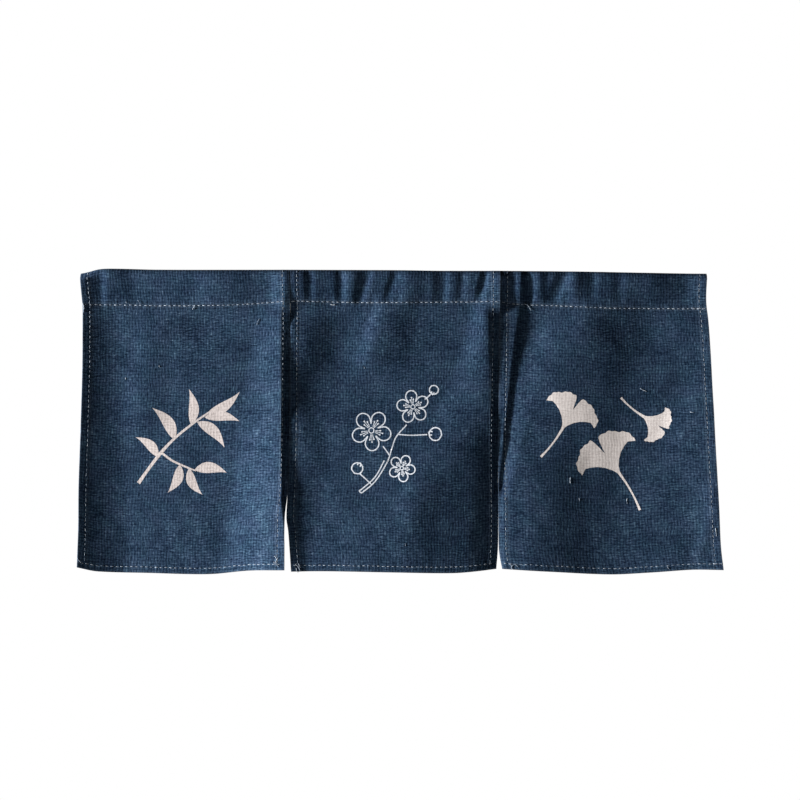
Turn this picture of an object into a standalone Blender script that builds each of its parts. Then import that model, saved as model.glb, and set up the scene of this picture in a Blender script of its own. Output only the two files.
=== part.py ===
"""A three-panel noren curtain, in the shape in which it hangs.

Each panel is one length of indigo cloth. Its top is turned over to the back and sewn down across
the panel, which leaves a pocket for a rod, and its sides and foot are hemmed. The panels hang side
by side from that pocket, free of each other below its seam.

The frame: metres, +Z up, +X to the viewer's right, the front facing -Y. The origin is the middle of
the top edge. The sizes and places below are in millimetres, and MM turns them to metres.
"""

import math
from typing import NamedTuple

import bmesh
import bpy

MM = 0.001

# The cloth: thicker than the real 0.5 mm, so that it stays a sound solid.
CLOTH_THICKNESS = 1.2
HEM_THICKNESS = 2.2
SIDE_HEM = 9.5
FOOT_HEM = 8.0

# The pocket hangs round a rod that isn't part of the curtain: its section is a teardrop, an arc of
# this radius over the rod and two straight sides down to the seam.
POCKET_RADIUS = 8.0

# How much of a fold's height is left where the cloth is held straight by the rod, and how far below
# the top edge the folds have their full height.
FOLD_SHARE_AT_ROD = 0.35
FOLDS_FULL_AT = 85.0

# The mesh of a panel: segments across it between its side hems, and up the back of the pocket, over
# the rod, down the front to the seam, and from there to the foot hem.
SEGMENTS_ACROSS = 36
SEGMENTS_BACK = 2
SEGMENTS_OVER = 6
SEGMENTS_FRONT = 3
SEGMENTS_BELOW = 12

INDIGO = (0.028, 0.052, 0.092, 1.0)
INDIGO_DARK = (0.018, 0.036, 0.066, 1.0)


class End(NamedTuple):
    """One end of a fold's crest, in millimetres."""

    x: float
    z: float
    left_flank: float
    right_flank: float
    forward: float


class Fold(NamedTuple):
    """A ridge down a panel, or a trough where forward is negative, between two ends.

    The crest bows sideways between its ends, and sharpness goes from 0, a rounded crest, to 1, a
    creased one.
    """

    name: str
    upper: End
    lower: End
    fade: float
    bow: float = 0.0
    sharpness: float = 0.0


class Panel(NamedTuple):
    """A panel's outline as (place, value) pairs, and the folds that it hangs in."""

    name: str
    colour: tuple
    left_edge: list
    right_edge: list
    top_edge: list
    seam: list
    foot: list
    folds: list


# The edges are x by height, and the top edge, the seam and the foot are heights by x.
LEFT_PANEL = Panel(
    name="panel_left",
    colour=INDIGO,
    left_edge=[(0, -423), (-22, -420), (-123, -419.5), (-205, -422), (-296, -425), (-400, -428)],
    right_edge=[(0, -141.9), (-50, -141.9), (-120, -140.8), (-250, -142), (-314, -147.2), (-404, -149)],
    top_edge=[(-428, -5.5), (-416, -3.4), (-398, 1.2), (-376, 1.9), (-320, 0.6), (-140, 0.5)],
    seam=[(-428, -46), (-357, -46.5), (-276, -50), (-209, -47.5), (-140, -41.3)],
    foot=[(-428, -400), (-400, -406), (-330, -408.5), (-249, -410), (-195, -404.5), (-148, -403)],
    folds=[
        Fold("outer edge forward", End(-423, -20, 30, 48, 8), End(-430, -410, 30, 50, 12), 30, sharpness=1.0),
        Fold("inner ridge", End(-153, -20, 56, 15, 10), End(-154, -300, 84, 15, 13), 30, sharpness=0.9),
        Fold("inner corner forward", End(-148, -330, 90, 60, 14), End(-146, -420, 110, 60, 15), 26, sharpness=1.0),
        Fold("heading pucker", End(-381, -14, 16, 14, 2), End(-384, -46, 14, 12, 1.5), 12),
    ],
)

MIDDLE_PANEL = Panel(
    name="panel_middle",
    colour=INDIGO_DARK,
    left_edge=[(0, -141), (-50, -141), (-120, -142), (-242, -143.4), (-314, -145), (-363, -141.6), (-404, -138.6)],
    right_edge=[(0, 142.3), (-50, 142.3), (-175, 141.6), (-340, 140.2), (-377, 138.4), (-404, 136.8)],
    top_edge=[(-142, 0.5), (0, 0), (60, -0.8), (143, -0.9)],
    seam=[(-142, -41.3), (-30, -43.6), (128, -42.4), (143, -43)],
    foot=[(-142, -405), (-87, -404.5), (0, -406), (76, -407.2), (105, -405.5), (138, -402)],
    folds=[
        Fold("inner edge forward", End(-141, -20, 30, 42, 6), End(-140, -410, 30, 50, 9), 30, sharpness=0.9),
        Fold("leaning ridge", End(121, -20, 30, 22, 8), End(-12, -410, 96, 165, 14), 30, bow=30, sharpness=0.2),
        Fold("right edge back", End(146, -30, 26, 30, -5), End(140, -410, 66, 30, -8), 24, sharpness=0.8),
        Fold("low swell", End(-80, -262, 60, 70, 6), End(-40, -390, 72, 90, 6), 44),
        Fold("upper pleat", End(-18, -46, 20, 30, 4), End(-42, -116, 24, 40, 3), 22),
        Fold("heading pucker left", End(-54, -14, 16, 14, 3), End(-58, -50, 16, 14, 2), 14),
        Fold("heading pucker right", End(32, -14, 20, 16, 3), End(22, -50, 18, 14, 2), 14),
    ],
)

RIGHT_PANEL = Panel(
    name="panel_right",
    colour=INDIGO_DARK,
    left_edge=[(0, 143.3), (-50, 143.3), (-175, 141), (-229, 139.8), (-364, 140), (-385, 141.6), (-404, 144.6)],
    right_edge=[(0, 421), (-35, 419.8), (-60, 421.8), (-175, 428), (-296, 433.5), (-376, 438), (-404, 441)],
    top_edge=[(143, -0.9), (250, -1.9), (330, -3.4), (400, -4.6), (445, -4.9)],
    seam=[(143, -43), (164, -45.5), (224, -48), (285, -50.8), (330, -51.4), (445, -52.6)],
    foot=[(143, -402), (210, -405.8), (290, -409.8), (345, -407), (400, -403), (445, -403)],
    folds=[
        Fold("left hem forward", End(164, -20, 60, 20, 4), End(142, -410, 60, 34, 5), 30),
        Fold("deep pleat", End(184, -20, 16, 26, -6), End(149, -225, 7, 16, -3), 26, sharpness=0.5),
        Fold("left swell", End(248, -46, 62, 72, 6), End(176, -410, 42, 110, 7), 40, bow=-30),
        Fold("right edge forward", End(425, -60, 80, 40, 3), End(446, -410, 125, 40, 11), 50, sharpness=0.5),
        Fold("low right swell", End(345, -150, 40, 80, 2), End(350, -410, 60, 60, 2), 60),
        Fold("heading pucker", End(196, -14, 12, 16, 3), End(200, -50, 12, 18, 2), 14),
        Fold("heading corner", End(398, -14, 24, 20, 3), End(396, -50, 20, 20, 1), 14),
    ],
)

PANELS = [LEFT_PANEL, MIDDLE_PANEL, RIGHT_PANEL]


def mix(start: float, end: float, share: float) -> float:
    """Gives the value that lies a share of the way from start to end."""
    return start + (end - start) * share


def ease(share: float) -> float:
    """Turns a share from 0 to 1 into one that starts and stops softly."""
    share = min(max(share, 0.0), 1.0)
    return share * share * (3.0 - 2.0 * share)


def read_curve(table: list, place: float) -> float:
    """Reads a smooth curve through a table of (place, value) pairs, flat past its ends."""
    points = sorted(table)
    if place <= points[0][0]:
        return points[0][1]
    if place >= points[-1][0]:
        return points[-1][1]
    after = next(index for index, point in enumerate(points) if point[0] > place)
    start, end = points[after - 1], points[after]
    span = end[0] - start[0]
    slopes = []
    for index in (after - 1, after):
        before_it, past_it = points[max(index - 1, 0)], points[min(index + 1, len(points) - 1)]
        slopes.append((past_it[1] - before_it[1]) / (past_it[0] - before_it[0]))
    share = (place - start[0]) / span
    eased = ease(share)
    lean = share * (1.0 - share) * span * ((1.0 - share) * slopes[0] - share * slopes[1])
    return mix(start[1], end[1], eased) + lean


def fold_height(fold: Fold, x: float, z: float) -> float:
    """Gives how far a fold stands forward at a place, from the distance to its crest."""
    upper, lower = fold.upper, fold.lower
    down = min(max((upper.z - z) / (upper.z - lower.z), 0.0), 1.0)
    past = max(z - upper.z, lower.z - z, 0.0)
    strength = 1.0 - ease(past / fold.fade)
    crest_x = mix(upper.x, lower.x, down) + fold.bow * 4.0 * down * (1.0 - down)
    if x < crest_x:
        flank = mix(upper.left_flank, lower.left_flank, down)
    else:
        flank = mix(upper.right_flank, lower.right_flank, down)
    across = min(abs(x - crest_x) / flank, 1.0)
    rounded = (1.0 - across * across) ** 2
    creased = (1.0 - across) ** 2
    return mix(upper.forward, lower.forward, down) * strength * mix(rounded, creased, fold.sharpness)


def held_share(depth_below_rod: float) -> float:
    """Gives the share of a fold's height at a depth below the rod's axis."""
    free = ease(depth_below_rod / (FOLDS_FULL_AT - POCKET_RADIUS))
    return mix(FOLD_SHARE_AT_ROD, 1.0, free)


def relief(panel: Panel, x: float, z: float) -> float:
    """Gives how far the whole cloth stands forward at a place, before the rod holds it."""
    return sum(fold_height(fold, x, z) for fold in panel.folds)


def panel_rows() -> list:
    """Lists the rows of a panel's mesh as (stretch, share along it), from the back seam down."""
    rows = [("back", step / SEGMENTS_BACK) for step in range(SEGMENTS_BACK)]
    rows += [("over", step / SEGMENTS_OVER) for step in range(SEGMENTS_OVER)]
    rows += [("front", step / SEGMENTS_FRONT) for step in range(SEGMENTS_FRONT)]
    rows += [("below", step / SEGMENTS_BELOW) for step in range(SEGMENTS_BELOW + 1)]
    rows.append(("foot", 1.0))
    return rows


def section_point(panel: Panel, x: float, stretch: str, share: float) -> tuple:
    """Gives the depth and height of the cloth's middle surface at a place along its section."""
    top = read_curve(panel.top_edge, x)
    seam = read_curve(panel.seam, x)
    axis = top - POCKET_RADIUS
    drop = axis - seam
    touch = math.asin(POCKET_RADIUS / drop)
    touch_y = POCKET_RADIUS * math.cos(touch)
    touch_z = axis - POCKET_RADIUS * math.sin(touch)
    seam_forward = relief(panel, x, seam) * held_share(drop)
    if stretch == "back":
        return mix(-seam_forward, touch_y, share), mix(seam, touch_z, share)
    if stretch == "over":
        angle = mix(-touch, math.pi + touch, share)
        held = relief(panel, x, axis) * FOLD_SHARE_AT_ROD * share * share
        return POCKET_RADIUS * math.cos(angle) - held, axis + POCKET_RADIUS * math.sin(angle)
    if stretch == "front":
        z = mix(touch_z, seam, share)
        held = relief(panel, x, z) * held_share(axis - z)
        return mix(-touch_y, 0.0, share) - held, z
    foot = read_curve(panel.foot, x)
    z = foot if stretch == "foot" else mix(seam, foot + FOOT_HEM, share)
    return -relief(panel, x, z) * held_share(axis - z), z


def column_x(panel: Panel, column: int, columns: int, z: float) -> float:
    """Gives the x of a column of the mesh at a height: an edge, a hem line or one between them."""
    left, right = read_curve(panel.left_edge, z), read_curve(panel.right_edge, z)
    if column == 0:
        return left
    if column == columns:
        return right
    return mix(left + SIDE_HEM, right - SIDE_HEM, (column - 1) / (columns - 2))


def rough_height(panel: Panel, stretch: str, share: float) -> float:
    """Gives a row's height at the middle of the panel, which settles where its edges lie."""
    middle = (read_curve(panel.left_edge, -200) + read_curve(panel.right_edge, -200)) / 2.0
    return section_point(panel, middle, stretch, share)[1]


def build_panel(panel: Panel, material: bpy.types.Material, parts: bpy.types.Collection) -> None:
    """Models a panel as a grid laid along its section, sewn shut at the seam and given thickness."""
    rows = panel_rows()
    columns = SEGMENTS_ACROSS + 2
    mesh = bpy.data.meshes.new(panel.name)
    cloth = bmesh.new()
    bmesh.ops.create_grid(cloth, x_segments=columns, y_segments=len(rows) - 1, size=0.5)
    hem_layer = cloth.verts.layers.deform.verify()
    seam_row = rows.index(("below", 0.0))
    sewn = {}
    for vertex in cloth.verts:
        column = round((vertex.co.x + 0.5) * columns)
        row = round((0.5 - vertex.co.y) * (len(rows) - 1))
        stretch, share = rows[row]
        x = column_x(panel, column, columns, rough_height(panel, stretch, share))
        y, z = section_point(panel, x, stretch, share)
        vertex.co = (x * MM, y * MM, z * MM)
        in_hem = column in (0, 1, columns - 1, columns) or row >= len(rows) - 2
        vertex[hem_layer][0] = 1.0 if in_hem else 0.0
        if row in (0, seam_row):
            sewn.setdefault(column, {})[row] = vertex
    pairs = {pair[0]: pair[seam_row] for pair in sewn.values()}
    bmesh.ops.weld_verts(cloth, targetmap=pairs)
    cloth.to_mesh(mesh)
    cloth.free()

    curtain = bpy.data.objects.new(panel.name, mesh)
    curtain.vertex_groups.new(name="hems")
    mesh.materials.append(material)
    parts.objects.link(curtain)
    wall = curtain.modifiers.new("cloth thickness", "SOLIDIFY")
    wall.solidify_mode = "NON_MANIFOLD"
    wall.nonmanifold_thickness_mode = "EVEN"
    wall.offset = 0.0
    wall.thickness = HEM_THICKNESS * MM
    wall.vertex_group = "hems"
    wall.thickness_vertex_group = CLOTH_THICKNESS / HEM_THICKNESS
    mesh.shade_smooth()


def make_cloth_material(name: str, colour: tuple) -> bpy.types.Material:
    """Makes the finish of a panel: woven cotton dyed with indigo."""
    material = bpy.data.materials.new(name)
    material.use_nodes = True
    shader = material.node_tree.nodes["Principled BSDF"]
    shader.inputs["Base Color"].default_value = colour
    shader.inputs["Roughness"].default_value = 0.9
    shader.inputs["Metallic"].default_value = 0.0
    return material


def main() -> None:
    """Clears the scene and builds the panels."""
    for item in list(bpy.data.objects):
        bpy.data.objects.remove(item, do_unlink=True)
    parts = bpy.data.collections.new("Noren curtain")
    bpy.context.scene.collection.children.link(parts)
    for panel in PANELS:
        material = make_cloth_material(f"indigo cotton, {panel.name}", panel.colour)
        build_panel(panel, material, parts)


if __name__ == "__main__":
    main()
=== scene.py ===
"""The looks of a noren curtain: three panels of indigo cotton that hang side by side.

Each panel is one length of cloth with hemmed sides and foot. Its top is turned over to the back and
sewn down, which leaves a pocket for a rod. The sizes here are in millimetres and MM turns them to
metres. The frame has +Z up, +X to the viewer's right and the front facing -Y, and its origin is the
middle of the top edge.
"""

import logging
import math
import random
from dataclasses import dataclass, field
from enum import Enum

import bpy
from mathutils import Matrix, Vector, noise
from mathutils.geometry import convex_hull_2d, delaunay_2d_cdt


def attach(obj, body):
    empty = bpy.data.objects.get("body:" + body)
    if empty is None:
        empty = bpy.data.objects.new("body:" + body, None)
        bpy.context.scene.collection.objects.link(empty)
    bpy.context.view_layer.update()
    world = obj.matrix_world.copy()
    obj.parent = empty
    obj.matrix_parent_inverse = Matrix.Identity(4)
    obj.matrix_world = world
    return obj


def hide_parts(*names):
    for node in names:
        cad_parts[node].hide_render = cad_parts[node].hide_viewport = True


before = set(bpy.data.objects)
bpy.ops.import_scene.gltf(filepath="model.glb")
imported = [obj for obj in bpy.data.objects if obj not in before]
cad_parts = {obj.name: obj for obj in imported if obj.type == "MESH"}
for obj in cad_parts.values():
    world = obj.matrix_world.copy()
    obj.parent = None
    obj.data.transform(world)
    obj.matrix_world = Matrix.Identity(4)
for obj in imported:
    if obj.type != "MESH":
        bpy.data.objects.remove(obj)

MM = 0.001
BODY = "root"
CLOTH_UV = "cloth"
WEAR_ATTRIBUTE = "wear"
UV_UNIT = 100.0

log = logging.getLogger("noren")

Point = tuple[float, float]
Curve = list[Point]


def mix(start: float, end: float, share: float) -> float:
    """Gives the value that lies a share of the way from start to end."""
    return start + (end - start) * share


def ease(share: float) -> float:
    """Turns a share from 0 to 1 into one that starts and stops softly."""
    share = min(max(share, 0.0), 1.0)
    return share * share * (3.0 - 2.0 * share)


def read_curve(table: Curve, place: float) -> float:
    """Reads a smooth curve through a table of (place, value) pairs, flat past its ends.

    Args:
        table: the pairs, in any order.
        place: where to read the curve.

    Returns:
        The value at that place.
    """
    points = sorted(table)
    if place <= points[0][0]:
        return points[0][1]
    if place >= points[-1][0]:
        return points[-1][1]
    after = next(index for index, point in enumerate(points) if point[0] > place)
    start, end = points[after - 1], points[after]
    span = end[0] - start[0]
    slopes = []
    for index in (after - 1, after):
        before_it, past_it = points[max(index - 1, 0)], points[min(index + 1, len(points) - 1)]
        slopes.append((past_it[1] - before_it[1]) / (past_it[0] - before_it[0]))
    share = (place - start[0]) / span
    lean = share * (1.0 - share) * span * ((1.0 - share) * slopes[0] - share * slopes[1])
    return mix(start[1], end[1], ease(share)) + lean


def linear_colour(code: str) -> tuple[float, float, float, float]:
    """Turns an sRGB hex code into a linear colour with full alpha."""
    channels = [int(code[place:place + 2], 16) / 255.0 for place in (1, 3, 5)]
    linear = [c / 12.92 if c <= 0.04045 else ((c + 0.055) / 1.055) ** 2.4 for c in channels]
    return (linear[0], linear[1], linear[2], 1.0)


def add_node(tree: bpy.types.NodeTree, kind: str, sockets: dict, **settings: object) -> bpy.types.Node:
    """Adds a node, sets its settings, and fills its sockets with values or with links.

    Args:
        tree: the node tree that gets the node.
        kind: the node's type name.
        sockets: each input socket's name or number, with a value or an output socket.
        **settings: the node's own properties.

    Returns:
        The new node.
    """
    node = tree.nodes.new(kind)
    for name, value in settings.items():
        setattr(node, name, value)
    for key, value in sockets.items():
        if isinstance(value, bpy.types.NodeSocket):
            tree.links.new(value, node.inputs[key])
        else:
            node.inputs[key].default_value = value
    return node


# The finishes.


@dataclass(frozen=True)
class IndigoCotton:
    """Plain-woven cotton, spun unevenly and dyed in the yarn with indigo.

    Each yarn took the dye differently, so the eye sees pale slubs that run up and across, short dark
    runs between them, a few pale flecks, and a soft mottle that leans to green grey in some patches
    and to violet in others. The real yarns are about 0.5 mm apart,
    which is too fine to show, so the runs are drawn 1 to 2 mm wide and the ribs about 4 mm apart.
    """

    name: str
    shadow: str
    deep: str
    body: str
    bright: str
    slub: str
    rib_pitch: float = 4.05
    warp_run: Point = (0.75, 6.5)
    weft_run: Point = (5.0, 0.85)
    warp_slub: Point = (1.1, 15.0)
    weft_slub: Point = (8.0, 1.1)
    fleck: float = 2.1
    balance: float = 70.0
    mottle: float = 34.0
    hue_patch: float = 24.0

    def streaks(
        self, tree: bpy.types.NodeTree, flat: bpy.types.NodeSocket, size: Point, offset: float, detail: float
    ) -> bpy.types.NodeSocket:
        """Gives a streaky noise.

        Args:
            tree: the material's node tree.
            flat: the cloth's flat coordinates.
            size: the width and height of a streak.
            offset: moves the noise, so that two of the same size differ.
            detail: how much finer noise it has.

        Returns:
            The noise, about 0.5 on average.
        """
        scale = (UV_UNIT / size[0], UV_UNIT / size[1], 1.0)
        place = (offset, offset, offset)
        stretched = add_node(tree, "ShaderNodeMapping", {"Vector": flat, "Location": place, "Scale": scale})
        streak = add_node(
            tree,
            "ShaderNodeTexNoise",
            {"Vector": stretched.outputs[0], "Scale": 1.0, "Detail": detail, "Roughness": 0.6},
        )
        return streak.outputs["Fac"]

    def weave(self, tree: bpy.types.NodeTree) -> tuple[bpy.types.NodeSocket, bpy.types.NodeSocket]:
        """Builds the weave from the cloth's own flat coordinates.

        Args:
            tree: the material's node tree.

        Returns:
            The yarns' tone, from dark to pale, and the height of the ribs.
        """
        flat = add_node(tree, "ShaderNodeUVMap", {}, uv_map=CLOTH_UV).outputs["UV"]
        warp = self.streaks(tree, flat, self.warp_run, 0.0, 1.5)
        weft = self.streaks(tree, flat, self.weft_run, 7.3, 1.5)
        lean = self.streaks(tree, flat, (self.balance, self.balance), 3.1, 1.0)
        weft_share = add_node(
            tree,
            "ShaderNodeMapRange",
            {"Value": lean, "From Min": 0.38, "From Max": 0.62, "To Min": 0.25, "To Max": 0.75},
        )
        runs = add_node(
            tree,
            "ShaderNodeMix",
            {0: weft_share.outputs[0], 2: warp, 3: weft},
            data_type="FLOAT",
        )
        rib_scale = UV_UNIT * math.tau / (20.0 * self.rib_pitch)
        ribs = []
        for direction in ("Y", "X"):
            rib = add_node(
                tree,
                "ShaderNodeTexWave",
                {"Vector": flat, "Scale": rib_scale, "Distortion": 5.0, "Detail": 2.0, "Detail Scale": 0.5},
                bands_direction=direction,
            )
            ribs.append(rib.outputs["Fac"])
        cross = add_node(tree, "ShaderNodeMath", {0: ribs[0], 1: ribs[1]}, operation="ADD")
        tone = add_node(
            tree,
            "ShaderNodeMath",
            {0: cross.outputs[0], 1: 0.075, 2: runs.outputs[0]},
            operation="MULTIPLY_ADD",
        ).outputs[0]
        for size, offset, start, gain in (
            (self.warp_slub, 11.0, 0.62, 0.55),
            (self.weft_slub, 19.0, 0.63, 0.45),
            ((self.fleck, self.fleck), 29.0, 0.72, 1.0),
        ):
            noise_value = self.streaks(tree, flat, size, offset, 0.0)
            above = add_node(
                tree,
                "ShaderNodeMath",
                {0: noise_value, 1: start},
                operation="SUBTRACT",
                use_clamp=True,
            )
            tone = add_node(
                tree,
                "ShaderNodeMath",
                {0: above.outputs[0], 1: gain, 2: tone},
                operation="MULTIPLY_ADD",
            ).outputs[0]
        height = add_node(
            tree,
            "ShaderNodeMath",
            {0: cross.outputs[0], 1: 0.35, 2: tone},
            operation="MULTIPLY_ADD",
        )
        return tone, height.outputs[0]

    def make(self) -> bpy.types.Material:
        """Makes the material."""
        material = bpy.data.materials.new(self.name)
        material.use_nodes = True
        tree = material.node_tree
        shader = tree.nodes["Principled BSDF"]
        tone, height = self.weave(tree)
        flat = add_node(tree, "ShaderNodeUVMap", {}, uv_map=CLOTH_UV).outputs["UV"]
        patches = self.streaks(tree, flat, (self.mottle, self.mottle), 5.0, 3.0)
        soft = add_node(
            tree,
            "ShaderNodeMath",
            {0: patches, 1: 0.30, 2: -0.372},
            operation="MULTIPLY_ADD",
        )
        patchy = add_node(
            tree,
            "ShaderNodeMath",
            {0: tone, 1: 1.18, 2: soft.outputs[0]},
            operation="MULTIPLY_ADD",
        )
        yarns = add_node(tree, "ShaderNodeValToRGB", {"Fac": patchy.outputs[0]})
        ramp = yarns.color_ramp
        ramp.elements[0].position = 0.30
        ramp.elements[0].color = linear_colour(self.shadow)
        ramp.elements[1].position = 1.0
        ramp.elements[1].color = linear_colour(self.slub)
        for position, code in ((0.42, self.deep), (0.55, self.body), (0.73, self.bright)):
            ramp.elements.new(position).color = linear_colour(code)
        drift = self.streaks(tree, flat, (self.hue_patch, self.hue_patch), 13.0, 2.0)
        casts = add_node(tree, "ShaderNodeValToRGB", {"Fac": drift})
        casts.color_ramp.elements[0].position = 0.36
        casts.color_ramp.elements[0].color = (0.93, 1.01, 0.98, 1.0)
        casts.color_ramp.elements[1].position = 0.64
        casts.color_ramp.elements[1].color = (1.05, 0.985, 1.015, 1.0)
        tinted = add_node(
            tree,
            "ShaderNodeMix",
            {0: 1.0, 6: yarns.outputs["Color"], 7: casts.outputs["Color"]},
            data_type="RGBA",
            blend_type="MULTIPLY",
        )
        wear = add_node(tree, "ShaderNodeAttribute", {}, attribute_name=WEAR_ATTRIBUTE)
        worn_share = add_node(
            tree,
            "ShaderNodeMath",
            {0: wear.outputs["Fac"], 1: tone},
            operation="MULTIPLY",
            use_clamp=True,
        )
        worn = add_node(
            tree,
            "ShaderNodeMix",
            {0: worn_share.outputs[0], 6: tinted.outputs[2], 7: linear_colour(self.slub)},
            data_type="RGBA",
        )
        tree.links.new(worn.outputs[2], shader.inputs["Base Color"])
        bump = add_node(
            tree,
            "ShaderNodeBump",
            {"Height": height, "Strength": 0.4, "Distance": 0.4 * MM},
        )
        tree.links.new(bump.outputs["Normal"], shader.inputs["Normal"])
        shader.inputs["Roughness"].default_value = 0.9
        shader.inputs["Specular IOR Level"].default_value = 0.0
        shader.inputs["Sheen Weight"].default_value = 0.04
        shader.inputs["Sheen Roughness"].default_value = 0.5
        shader.inputs["Sheen Tint"].default_value = linear_colour("#7f9cbb")
        return material


@dataclass(frozen=True)
class PrintedPigment:
    """Opaque pigment, screen printed on the cotton.

    It sinks between the yarns and has no height of its own, so the weave shows through it as a faint
    darker grid and its surface stays matt.
    """

    name: str
    paint: str
    between_yarns: str
    weave: IndigoCotton

    def make(self) -> bpy.types.Material:
        """Makes the material."""
        material = bpy.data.materials.new(self.name)
        material.use_nodes = True
        tree = material.node_tree
        shader = tree.nodes["Principled BSDF"]
        tone, height = self.weave.weave(tree)
        inked = add_node(tree, "ShaderNodeValToRGB", {"Fac": tone})
        inked.color_ramp.elements[0].position = 0.46
        inked.color_ramp.elements[0].color = linear_colour(self.between_yarns)
        inked.color_ramp.elements[1].position = 0.66
        inked.color_ramp.elements[1].color = linear_colour(self.paint)
        tree.links.new(inked.outputs["Color"], shader.inputs["Base Color"])
        bump = add_node(
            tree,
            "ShaderNodeBump",
            {"Height": height, "Strength": 0.18, "Distance": 0.5 * MM},
        )
        tree.links.new(bump.outputs["Normal"], shader.inputs["Normal"])
        shader.inputs["Roughness"].default_value = 0.8
        shader.inputs["Specular IOR Level"].default_value = 0.08
        return material


@dataclass(frozen=True)
class CottonThread:
    """Three-ply spun cotton sewing thread, pale blue-white.

    It is worn unevenly and its plies and loose fibres break its colour up, so it goes from pale to
    grey-blue along a seam, and it has a dull sheen.
    """

    name: str
    pale: str
    dull: str
    run_length: float = 8.0

    def make(self) -> bpy.types.Material:
        """Makes the material."""
        material = bpy.data.materials.new(self.name)
        material.use_nodes = True
        tree = material.node_tree
        shader = tree.nodes["Principled BSDF"]
        place = add_node(tree, "ShaderNodeTexCoord", {}).outputs["Object"]
        plies = add_node(
            tree,
            "ShaderNodeTexNoise",
            {"Vector": place, "Scale": 1.0 / (self.run_length * MM), "Detail": 3.0, "Roughness": 0.8},
        )
        shades = add_node(tree, "ShaderNodeValToRGB", {"Fac": plies.outputs["Fac"]})
        shades.color_ramp.elements[0].position = 0.38
        shades.color_ramp.elements[0].color = linear_colour(self.dull)
        shades.color_ramp.elements[1].position = 0.62
        shades.color_ramp.elements[1].color = linear_colour(self.pale)
        tree.links.new(shades.outputs["Color"], shader.inputs["Base Color"])
        bump = add_node(
            tree,
            "ShaderNodeBump",
            {"Height": plies.outputs["Fac"], "Strength": 0.3, "Distance": 0.2 * MM},
        )
        tree.links.new(bump.outputs["Normal"], shader.inputs["Normal"])
        shader.inputs["Roughness"].default_value = 0.75
        shader.inputs["Sheen Weight"].default_value = 0.2
        return material


@dataclass(frozen=True)
class PaintedFloor:
    """A studio floor in matt emulsion paint, which is plain grey with a faint roller texture."""

    name: str
    paint: str
    shade: str

    def make(self) -> bpy.types.Material:
        """Makes the material."""
        material = bpy.data.materials.new(self.name)
        material.use_nodes = True
        tree = material.node_tree
        shader = tree.nodes["Principled BSDF"]
        place = add_node(tree, "ShaderNodeTexCoord", {}).outputs["Object"]
        roller = add_node(tree, "ShaderNodeTexNoise", {"Vector": place, "Scale": 30.0, "Detail": 3.0})
        shades = add_node(tree, "ShaderNodeValToRGB", {"Fac": roller.outputs["Fac"]})
        shades.color_ramp.elements[0].color = linear_colour(self.shade)
        shades.color_ramp.elements[1].color = linear_colour(self.paint)
        tree.links.new(shades.outputs["Color"], shader.inputs["Base Color"])
        shader.inputs["Roughness"].default_value = 0.8
        return material


# The folds.


@dataclass(frozen=True)
class End:
    """One end of a fold's crest, in millimetres."""

    x: float
    z: float
    left_flank: float
    right_flank: float
    forward: float


@dataclass(frozen=True)
class Fold:
    """A ridge in a panel, or a trough where forward is negative, between two ends.

    The crest bows sideways between its ends, and sharpness goes from 0, a rounded crest, to 1, a
    creased one. A pucker is pinched in by the pocket, so the rod doesn't flatten it.
    """

    name: str
    upper: End
    lower: End
    fade: float
    bow: float = 0.0
    sharpness: float = 0.0

    def height(self, x: float, z: float) -> float:
        """Gives how far the fold stands forward at a place.

        Args:
            x: the place across.
            z: its height.

        Returns:
            The distance forward, from how far the place is from the crest.
        """
        upper, lower = self.upper, self.lower
        down = min(max((upper.z - z) / (upper.z - lower.z), 0.0), 1.0)
        past = max(z - upper.z, lower.z - z, 0.0)
        if past >= self.fade:
            return 0.0
        crest_x = mix(upper.x, lower.x, down) + self.bow * 4.0 * down * (1.0 - down)
        if x < crest_x:
            flank = mix(upper.left_flank, lower.left_flank, down)
        else:
            flank = mix(upper.right_flank, lower.right_flank, down)
        across = abs(x - crest_x) / flank
        if across >= 1.0:
            return 0.0
        rounded = (1.0 - across * across) ** 2
        creased = (1.0 - across) ** 2
        strength = 1.0 - ease(past / self.fade)
        return mix(upper.forward, lower.forward, down) * strength * mix(rounded, creased, self.sharpness)


# The prints.


def wound_one_way(outline: list[Point]) -> list[Point]:
    """Gives an outline whose points run the way that the cutting of the cloth needs."""
    area = sum(a[0] * b[1] - b[0] * a[1] for a, b in zip(outline, outline[1:] + outline[:1]))
    return outline if area > 0.0 else outline[::-1]


def leaf_outline(base: Point, tip: Point, width: float, bend: float) -> list[Point]:
    """Draws a pointed leaf.

    Args:
        base: where the leaf joins its twig.
        tip: its point.
        width: its greatest width.
        bend: how far its middle bows to one side.

    Returns:
        Its outline.
    """
    steps = 14
    along = Vector(tip) - Vector(base)
    side = Vector((-along.y, along.x)).normalized()
    middle = [Vector(base) + along * (i / steps) + side * bend * 4 * (i / steps) * (1 - i / steps) for i in range(steps + 1)]
    half = [0.5 * width * math.sin(math.pi * (i / steps) ** 0.72) ** 1.1 for i in range(steps + 1)]
    left = [middle[i] + side * half[i] for i in range(steps + 1)]
    right = [middle[i] - side * half[i] for i in range(steps - 1, 0, -1)]
    return [(p.x, p.y) for p in left + right]


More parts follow.
